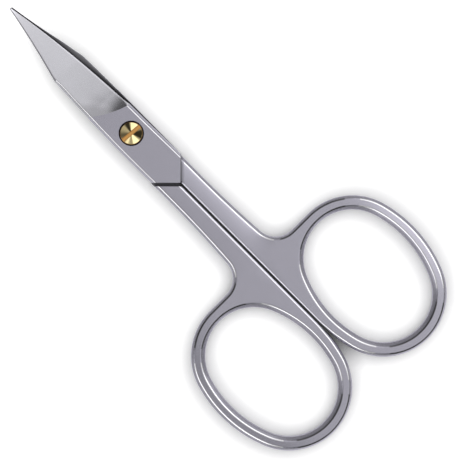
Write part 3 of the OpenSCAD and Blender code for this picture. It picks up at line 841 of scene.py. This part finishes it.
class Web:
    """Short calls for building a node tree."""

    def __init__(self, tree):
        self.tree = tree

    def node(self, kind, **values):
        """A node with values for its attributes."""
        made = self.tree.nodes.new(kind)
        for name, value in values.items():
            setattr(made, name, value)
        return made

    def link(self, one, two):
        """Links an output to an input."""
        self.tree.links.new(one, two)

    def group(self, name, **values):
        """A node for the group of that name, with values for its inputs."""
        made = self.node("ShaderNodeGroup", node_tree=bpy.data.node_groups[name])
        for socket, value in values.items():
            made.inputs[socket].default_value = value
        return made

    def math(self, operation, a, b=None):
        """The result of the operation on numbers or outputs."""
        made = self.node("ShaderNodeMath", operation=operation)
        for socket, value in zip(made.inputs, (a, b)):
            if isinstance(value, (int, float)):
                socket.default_value = value
            elif value is not None:
                self.link(value, socket)
        return made.outputs[0]

    def times(self, *values):
        """The product of numbers or outputs."""
        total = values[0]
        for value in values[1:]:
            total = self.math("MULTIPLY", total, value)
        return total

    def near_one(self, offset, tone):
        """One and the offset times the tone."""
        return self.math("ADD", self.times(offset, tone), 1.0)

    def noise(self, vector, scale, detail):
        """A noise between zero and one at the vector."""
        made = self.node("ShaderNodeTexNoise")
        made.inputs["Detail"].default_value = detail
        self.link(vector, made.inputs["Vector"])
        self.link(scale, made.inputs["Scale"])
        return made.outputs["Fac"]

    def apart(self, vector):
        """X, Y and Z of a vector."""
        made = self.node("ShaderNodeSeparateXYZ")
        self.link(vector, made.inputs[0])
        return tuple(made.outputs)

    def ramp(self, value, stops, kind):
        """A grey curve of that kind through the stops, each a place from 0 to 1 and a tone."""
        made = self.node("ShaderNodeValToRGB")
        made.color_ramp.interpolation = kind
        spots = made.color_ramp.elements
        for place, _ in stops[1:-1]:
            spots.new(place)
        for spot, (place, tone) in zip(spots, stops):
            spot.color = (tone, tone, tone, 1.0)
        self.link(value, made.inputs["Fac"])
        return made.outputs["Color"]


FLOAT, VECTOR = "NodeSocketFloat", "NodeSocketVector"


def group_with(name, inputs, outputs):
    """A shader node group with float inputs that have values, and float outputs. Gives its web, its
    inputs' outputs and its outputs' inputs. An input without a value is a vector."""
    made = bpy.data.node_groups.new(name, "ShaderNodeTree")
    for label, value in inputs.items():
        kind = VECTOR if value is None else FLOAT
        socket = made.interface.new_socket(name=label, in_out="INPUT", socket_type=kind)
        if value is not None:
            socket.default_value = value
    for label in outputs:
        made.interface.new_socket(name=label, in_out="OUTPUT", socket_type=FLOAT)
    web = Web(made)
    return web, web.node("NodeGroupInput").outputs, web.node("NodeGroupOutput").inputs


def grain_group():
    """Blasted grain: noise in two sizes, the broad one at 0.06 of the scale. Gives the fine one as a
    height, and one plus the tone's share of both as a shade."""
    web, put, out = group_with("Blasted Grain", {"Vector": None, "Scale": 8000.0, "Tone": 0.04},
                               ("Height", "Shade"))
    fine = web.noise(put["Vector"], put["Scale"], 3.0)
    broad = web.noise(put["Vector"], web.times(put["Scale"], 0.06), 2.0)
    both = web.math("ADD", web.math("SUBTRACT", fine, 0.5), web.math("SUBTRACT", broad, 0.5))
    web.link(fine, out["Height"])
    web.link(web.near_one(both, put["Tone"]), out["Shade"])


def lines_group():
    """Grinding lines across a blade: noise stretched along Y and turned by 8 degrees. Gives it as a
    height, and one plus the tone's share of it as a shade."""
    web, put, out = group_with("Grinding Lines", {"Vector": None, "Scale": 12000.0, "Tone": 0.03},
                               ("Height", "Shade"))
    place = web.node("ShaderNodeMapping")
    place.inputs["Rotation"].default_value = (0.0, 0.0, math.radians(8))
    place.inputs["Scale"].default_value = (1.0, 0.03, 0.25)
    web.link(put["Vector"], place.inputs["Vector"])
    noise = web.noise(place.outputs["Vector"], put["Scale"], 2.0)
    web.link(noise, out["Height"])
    web.link(web.near_one(web.math("SUBTRACT", noise, 0.5), put["Tone"]), out["Shade"])


def painted_nook_shade_group():
    """Painted shade of narrow places: how open a point is, raised to a power, which darkens the colour.
    """
    web, put, out = group_with("Painted Nook Shade", {"Reach": 0.001, "Power": 2.0}, ("Shade",))
    open_share = web.node("ShaderNodeAmbientOcclusion", samples=16)
    web.link(put["Reach"], open_share.inputs["Distance"])
    web.link(web.math("POWER", open_share.outputs["AO"], put["Power"]), out["Shade"])


def fan_group():
    """Fans of a turned face: a ramp round the axis leans the normal to the bright side (value above a
    half) or to the dark one, and fine rings come from noise read at the distance to the axis. The
    ramp's value is also given as Fan, which paints the fans' reflection into the colour."""
    web, put, out = group_with("Turned Fans", {"Vector": None, "Lean": 0.55, "Scale": 14000.0},
                               ("Lean X", "Lean Y", "Rings", "Height", "Fan"))
    x, y, _ = web.apart(put["Vector"])
    turn = web.math("DIVIDE", web.math("ARCTAN2", y, x), 2 * math.pi)
    around = web.math("FRACT", web.math("ADD", turn, 1.0))
    square = web.math("ADD", web.times(x, x), web.times(y, y))
    spread = web.node("ShaderNodeCombineXYZ")
    web.link(web.math("SQRT", square), spread.inputs["X"])
    noise = web.noise(spread.outputs[0], put["Scale"], 3.0)
    fan = web.ramp(around, [(degrees / 360, tone) for degrees, tone in SCREW_FANS], "B_SPLINE")
    signed = web.math("SUBTRACT", web.times(fan, 2.0), 1.0)
    for label, side in (("Lean X", web.math("MINIMUM", signed, 0.0)),
                        ("Lean Y", web.math("MAXIMUM", signed, 0.0))):
        web.link(web.times(side, put["Lean"], -1.0), out[label])
    web.link(web.near_one(web.math("SUBTRACT", noise, 0.5), 0.5), out["Rings"])
    web.link(noise, out["Height"])
    web.link(fan, out["Fan"])


def tinted(web, colour, *shades):
    """The colour times the product of the shades."""
    scale = web.node("ShaderNodeVectorMath", operation="SCALE")
    scale.inputs[0].default_value = colour
    web.link(web.times(*shades), scale.inputs["Scale"])
    return scale.outputs[0]


def material_with(name, **values):
    """A material with values for its shader's sockets, and what builds its nodes."""
    made = bpy.data.materials.new(name)
    made.use_nodes = True
    shader = made.node_tree.nodes["Principled BSDF"]
    for socket, value in values.items():
        shader.inputs[socket.replace("_", " ")].default_value = value
    return made, Web(made.node_tree), shader


def bumped(web, height, depth, normal=None):
    """The normal, leaned by a height of that depth."""
    bump = web.node("ShaderNodeBump")
    bump.inputs["Distance"].default_value = depth
    bump.inputs["Strength"].default_value = 1.0
    web.link(height, bump.inputs["Height"])
    if normal:
        web.link(normal, bump.inputs["Normal"])
    return bump.outputs["Normal"]


def steel(name, colour, roughness, finish, grain, lines, reach, power):
    """Steel with blasted grain and grinding lines, each as a bump of that depth and as a faint change
    of tone, and darkened in narrow places as painted shade."""
    made, web, shader = material_with(name, Metallic=1.0, Roughness=roughness)
    where = web.node("ShaderNodeTexCoord").outputs["Object"]
    shades, normal = [], None
    for group, size, depth in (("Blasted Grain", finish.grain, grain),
                               ("Grinding Lines", finish.line_pitch, lines)):
        if depth:
            effect = web.group(group, Scale=1.0 / size)
            web.link(where, effect.inputs["Vector"])
            shades.append(effect.outputs["Shade"])
            normal = bumped(web, effect.outputs["Height"], depth, normal)
    # Painted shade: the colour darkens in narrow places
    shades.append(web.group("Painted Nook Shade", Reach=reach, Power=power).outputs["Shade"])
    web.link(tinted(web, colour, *shades), shader.inputs["Base Color"])
    web.link(normal, shader.inputs["Normal"])
    made.diffuse_color = (*colour, 1.0)


# Fans on the screw's face, leaned into the normal and painted into the colour as reflection: direction
# from +X in degrees, and tone from 0, dark, to 1, bright
SCREW_FANS = ((0, 0.62), (25, 0.6), (50, 0.28), (75, 0.35), (100, 0.75), (118, 0.85), (135, 0.35),
              (150, 0.9), (172, 1.0), (190, 0.6), (202, 0.05), (235, 0.05), (255, 0.6), (275, 0.8),
              (300, 1.0), (316, 0.95), (330, 0.05), (345, 0.1), (360, 0.62))
# Share of the brass's colour that the painted dark fans keep, and the slot's share of the reach of the
# painted shade in narrow places
FAN_DARK, SLOT_REACH = 0.28, 0.3
# Depth of the fine turned rings
RING_DEPTH = 0.006 * MM


def brass(finish):
    """Turned brass with fans of light on its face, from a leaned normal and as painted reflection in
    its colour, and a deeper tone down in the slot, darkened there as painted shade.
    """
    made, web, shader = material_with("turned_brass", Metallic=1.0, Roughness=0.2)
    where = web.node("ShaderNodeTexCoord").outputs["Object"]
    fan_group()
    fans = web.group("Turned Fans")
    web.link(where, fans.inputs["Vector"])
    fans = fans.outputs
    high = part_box("pivot_screw")[1][2]
    face = web.math("GREATER_THAN", web.apart(where)[2], high - finish.slot_drop)
    lean = web.node("ShaderNodeCombineXYZ")
    for axis in "XY":
        web.link(web.times(fans["Lean " + axis], face), lean.inputs[axis])
    leaned = web.node("ShaderNodeVectorMath", operation="ADD")
    web.link(bumped(web, fans["Height"], RING_DEPTH), leaned.inputs[0])
    web.link(lean.outputs[0], leaned.inputs[1])
    unit = web.node("ShaderNodeVectorMath", operation="NORMALIZE")
    web.link(leaned.outputs[0], unit.inputs[0])
    web.link(unit.outputs[0], shader.inputs["Normal"])
    # Painted shade in the slot's narrow places
    nook = web.group("Painted Nook Shade", Reach=SLOT_REACH * finish.nook_shade_reach, Power=1.0)
    # The fans darken the face's colour as painted reflection
    depth = web.math("ADD", web.times(fans["Fan"], 1 - FAN_DARK), FAN_DARK)
    either = web.node("ShaderNodeMix", data_type="RGBA")
    web.link(face, either.inputs["Factor"])
    web.link(tinted(web, finish.slot_brass, fans["Rings"], nook.outputs["Shade"]), either.inputs["A"])
    web.link(tinted(web, finish.brass, fans["Rings"], depth), either.inputs["B"])
    web.link(either.outputs["Result"], shader.inputs["Base Color"])
    return made


def steels(finish):
    """The steels, made once: blasted for handles and plates, ground for the blades' outer faces, lapped
    and darkened as painted shade for their inner ones and for dark walls and creases, and a bright
    painted highlight for the creases along the scissors."""
    if STEELS[0] not in bpy.data.materials:
        grain_group()
        lines_group()
        painted_nook_shade_group()
        reach = finish.nook_shade_reach
        # Name, colour, roughness, finish, depths of grain and lines, reach and power of the painted
        # shade in narrow places
        steel(STEELS[BLASTED], finish.satin, 0.27, finish, 0.010 * MM, 0.0, reach, 2.0)
        steel(STEELS[GROUND], finish.ground, 0.26, finish, 0.006 * MM, 0.002 * MM, reach, 1.0)
        # Lapped: a dark colour and a strong darkening of narrow places, both painted shade, on a lapped
        # finish
        steel(STEELS[LAPPED_SHADE], finish.lapped_shade, 0.22, finish, 0.0, 0.002 * MM, 1.5 * reach, 4.5)
        # Painted highlight: a bright colour for the creases along the scissors
        steel(STEELS[PAINTED_HIGHLIGHT], finish.painted_highlight, 0.2, finish, 0.004 * MM, 0.0, reach, 1.0)
    return [bpy.data.materials[name] for name in STEELS]


# Edges that are sharper than this stay sharp in the shading
SHARP = math.radians(33)


def forging(context, side, node, body, screw):
    """One forged half: plate with blade, shank and ring, in place of its plain node. screw gives the
    radius of its hole, the radius of the recess and the height of that recess's floor."""
    scene = context.scene
    b, h = scene.scissors_blades, scene.scissors_handles
    blade, grip = Skin(), Skin()
    blade_skin(blade, b, screw, side)
    handle_skin(grip, b, h, side)

    def world(points, mirrored):
        """Out of the half's own frame: the handle, drawn on +Y, is mirrored about the parting gap,
        the back half is turned over about X, and both are lifted to the lap plane."""
        made = points.copy()
        if mirrored:
            made[:, 1] = side * h.parting_offset - made[:, 1]
        if side < 0:
            made[:, 1:] *= -1
        made[:, 2] += b.plate_thickness
        return made

    whole = bmesh.new()
    for skin, mirrored in ((blade, False), (grip, True)):
        part = skin.mesh(node, lambda points: world(points, mirrored))
        whole.from_mesh(part)
        bpy.data.meshes.remove(part)
    mesh = bpy.data.meshes.new(node.replace("half", "forging"))
    whole.to_mesh(mesh)
    whole.free()
    for material in steels(scene.scissors_finish):
        mesh.materials.append(material)
    mesh.shade_smooth()
    mesh.set_sharp_from_angle(angle=SHARP)
    made = bpy.data.objects.new(mesh.name, mesh)
    context.collection.objects.link(made)
    # Large faces lead the shading of the rounded edges beside them
    even = made.modifiers.new("Even faces", "WEIGHTED_NORMAL")
    even.keep_sharp = True
    even.weight = 90
    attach(made, body)
    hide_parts(node)


class SCISSORS_OT_front_forging(bpy.types.Operator):
    """Model the front half: blade, joint plate with the screw's recess, shank and ring"""
    bl_idname = "scissors.front_forging"
    bl_label = "Front forging"

    def execute(self, context):
        s = context.scene.scissors_screw
        screw = (s.pin_hole, s.recess, s.seat)
        forging(context, 1, "front_half", "front", screw)
        return {"FINISHED"}


class SCISSORS_OT_back_forging(bpy.types.Operator):
    """Model the back half: blade, joint plate with the tapped hole, shank and ring"""
    bl_idname = "scissors.back_forging"
    bl_label = "Back forging"

    def execute(self, context):
        screw = (context.scene.scissors_screw.thread_hole, 0.0, 0.0)
        forging(context, -1, "back_half", "back", screw)
        return {"FINISHED"}


class SCISSORS_OT_pivot_screw(bpy.types.Operator):
    """Give the pivot screw its turned brass finish"""
    bl_idname = "scissors.pivot_screw"
    bl_label = "Pivot screw"

    def execute(self, context):
        screw = frame["nodes"]["pivot_screw"]
        material = brass(context.scene.scissors_finish)
        for place in screw.material_slots:
            place.material = material
        return {"FINISHED"}


# Brightness of the soft light across the scissors (-Y to +Y) and along them (-X to +X), as the
# cosine of the direction to that axis and the value there
SKY_ACROSS = ((-1.0, 0.1), (-0.92, 0.3), (-0.84, 0.96), (-0.56, 0.96), (-0.45, 0.64), (-0.36, 0.53),
              (-0.25, 0.44), (0.0, 0.39), (0.2, 0.22), (0.38, 0.13), (0.47, 0.3), (0.57, 0.96),
              (0.84, 0.96), (0.92, 0.3), (1.0, 0.1))
SKY_ALONG = ((-1.0, 0.3), (-0.75, 0.12), (-0.44, 0.1), (-0.36, 0.85), (-0.3, 1.0), (-0.2, 0.98),
             (0.0, 0.94), (0.1, 0.84), (0.2, 0.74), (0.35, 0.6), (0.47, 0.28), (0.62, 0.12),
             (0.8, 0.12), (1.0, 0.3))
# Height of a direction over which the sky takes over from its low rim
RIM_FROM, RIM_TO = 0.15, 0.45
# Painted shadow round the scissors: the floor's glow is its open share to this power, and falls off
# further where that share times the first number is below one. Its own colour falls off where the share
# times the second is
GLOW_POWER, GLOW_OPEN, PAPER_OPEN = 1.3, 3.0, 2.0
# The floor reaches this far to each side, and lies this far below the scissors
FLOOR_REACH, FLOOR_DROP = 3.0, 0.01 * MM
# Place on the shanks near the plates at which the lamps are aimed
LAMP_AIM = Vector((-20.0 * MM, 0.0, 0.0))


def floor_sheet(context, s):
    """A white floor just under the scissors, whose glow the metal mirrors in part. Near the scissors
    its colour and glow are darkened as a painted shadow.
    """
    reach = FLOOR_REACH * np.array([-1.0, 1.0])
    x, y = np.meshgrid(reach, reach, indexing="ij")
    corners = np.stack([x, y, np.full_like(x, -FLOOR_DROP)], axis=-1).reshape(-1, 3)
    mesh = bpy.data.meshes.new("floor")
    mesh.from_pydata(corners, [], [(0, 2, 3, 1)])
    floor = bpy.data.objects.new("floor", mesh)
    context.collection.objects.link(floor)
    made, web, shader = material_with("floor_paper", Roughness=0.9, Specular_IOR_Level=0.1,
                                      Emission_Color=(1.0, 1.0, 1.0, 1.0))
    # Painted shadow: how open each point of the floor is darkens its colour and its glow
    near = web.node("ShaderNodeAmbientOcclusion", samples=8)
    near.inputs["Distance"].default_value = s.shade_reach
    open_share = near.outputs["AO"]
    deep = web.math("MINIMUM", web.times(open_share, GLOW_OPEN), 1.0)
    shade = web.math("MINIMUM", web.times(open_share, PAPER_OPEN), 1.0)
    seen = web.node("ShaderNodeLightPath").outputs
    direct = web.math("ADD", seen["Is Camera Ray"], web.times(seen["Is Glossy Ray"], s.mirrored_glow))
    total = web.math("MINIMUM", web.math("ADD", direct, seen["Is Transmission Ray"]), 1.0)
    glow = web.times(web.math("POWER", open_share, GLOW_POWER), deep, s.paper_glow)
    web.link(tinted(web, s.floor, shade), shader.inputs["Base Color"])
    web.link(web.times(total, glow), shader.inputs["Emission Strength"])
    mesh.materials.append(made)


def view(context, s):
    """The camera straight above, with the picture's right and up turned against the scissors. Its
    lens is the sensor's width times the distance to the faces, over the picture's width there."""
    camera = bpy.data.objects.new("camera", bpy.data.cameras.new("camera"))
    data = camera.data
    data.type = "PERSP"
    data.sensor_width = 36.0
    data.lens = data.sensor_width * (s.camera_height - s.face_height) / s.field
    data.clip_start, data.clip_end = 0.01, 100.0
    c, d = math.cos(s.turn), math.sin(s.turn)
    camera.matrix_world = Matrix(((-c, d, 0.0, s.centre_x), (-d, -c, 0.0, s.centre_y),
                                  (0.0, 0.0, 1.0, s.camera_height), (0.0, 0.0, 0.0, 1.0)))
    context.collection.objects.link(camera)
    context.scene.camera = camera


def lamp(context, name, angle, way, distance, power, size):
    """A soft lamp on one side (way 1 is +Y), at the angle in degrees from straight above and at the
    distance from the place that it is aimed at."""
    data = bpy.data.lights.new(name, "AREA")
    data.shape = "RECTANGLE"
    data.size, data.size_y = size
    data.energy = power
    made = bpy.data.objects.new(name, data)
    lean = math.radians(angle)
    direction = Vector((0.0, way * math.sin(lean), math.cos(lean)))
    made.location = LAMP_AIM + distance * direction
    made.rotation_euler = direction.to_track_quat("Z", "Y").to_euler()
    context.collection.objects.link(made)


def soft_sky(scene, s):
    """The studio's soft light: the product of a curve across the scissors and one along them, that
    turns into an even low rim towards the floor."""
    world = bpy.data.worlds.new("studio")
    world.use_nodes = True
    scene.world = world
    web = Web(world.node_tree)
    sky = world.node_tree.nodes["Background"]
    sky.inputs["Color"].default_value = (1.0, 1.0, 1.0, 1.0)
    x, y, z = web.apart(web.node("ShaderNodeTexCoord").outputs["Generated"])
    curves = []
    for value, stops in ((y, SKY_ACROSS), (x, SKY_ALONG)):
        place = web.math("ADD", web.times(value, 0.5), 0.5)
        curves.append(web.ramp(place, [(0.5 * at + 0.5, tone) for at, tone in stops], "EASE"))
    high = web.node("ShaderNodeMapRange", interpolation_type="SMOOTHSTEP")
    high.inputs["From Min"].default_value = RIM_FROM
    high.inputs["From Max"].default_value = RIM_TO
    web.link(z, high.inputs["Value"])
    level = web.node("ShaderNodeMix", data_type="FLOAT")
    level.inputs["A"].default_value = s.horizon
    web.link(high.outputs["Result"], level.inputs["Factor"])
    web.link(web.times(*curves), level.inputs["B"])
    web.link(web.times(level.outputs["Result"], s.sky), sky.inputs["Strength"])


class SCISSORS_OT_stage(bpy.types.Operator):
    """Lay the floor and set the camera, the lamps and the world"""
    bl_idname = "scissors.stage"
    bl_label = "Stage"

    def execute(self, context):
        s = context.scene.scissors_stage
        floor_sheet(context, s)
        view(context, s)
        # Name, angle, side, distance, power, and length by width
        lamp(context, "right_lamp", 42, -1, s.lamp_distance, s.near_lamp, (0.9, 0.35))
        lamp(context, "left_lamp", 52, 1, s.lamp_distance, s.far_lamp, (0.9, 0.3))
        soft_sky(context.scene, s)
        context.scene.view_settings.view_transform = "Standard"
        return {"FINISHED"}


class SCISSORS_PT_panel(bpy.types.Panel):
    """Steps and sizes of the nail scissors"""
    bl_idname = "SCISSORS_PT_panel"
    bl_label = "Nail scissors"
    bl_space_type = "VIEW_3D"
    bl_region_type = "UI"
    bl_category = "Scissors"

    def draw(self, context):
        for step in STEPS:
            self.layout.operator(step.bl_idname)
        for name in GROUPS:
            group = getattr(context.scene, name)
            box = self.layout.box()
            for key in group.__annotations__:
                box.prop(group, key)


STEPS = (SCISSORS_OT_front_forging, SCISSORS_OT_back_forging, SCISSORS_OT_pivot_screw,
         SCISSORS_OT_stage)
GROUPS = {"scissors_blades": BladeSizes, "scissors_handles": HandleSizes,
          "scissors_screw": ScrewSizes, "scissors_finish": FinishSettings,
          "scissors_stage": StageSettings}


def register():
    """Registers the groups of sizes, the steps and the panel, and puts the groups on the scene."""
    for made in (*GROUPS.values(), *STEPS, SCISSORS_PT_panel):
        bpy.utils.register_class(made)
    for name, made in GROUPS.items():
        setattr(bpy.types.Scene, name, PointerProperty(type=made))


def unregister():
    """Takes all of it back, in the other order."""
    for name in GROUPS:
        delattr(bpy.types.Scene, name)
    for made in (SCISSORS_PT_panel, *reversed(STEPS), *reversed(list(GROUPS.values()))):
        bpy.utils.unregister_class(made)


def main():
    """Runs the steps in order."""
    register()
    bpy.ops.scissors.front_forging()
    bpy.ops.scissors.back_forging()
    bpy.ops.scissors.pivot_screw()
    bpy.ops.scissors.stage()


if __name__ == "__main__":
    main()
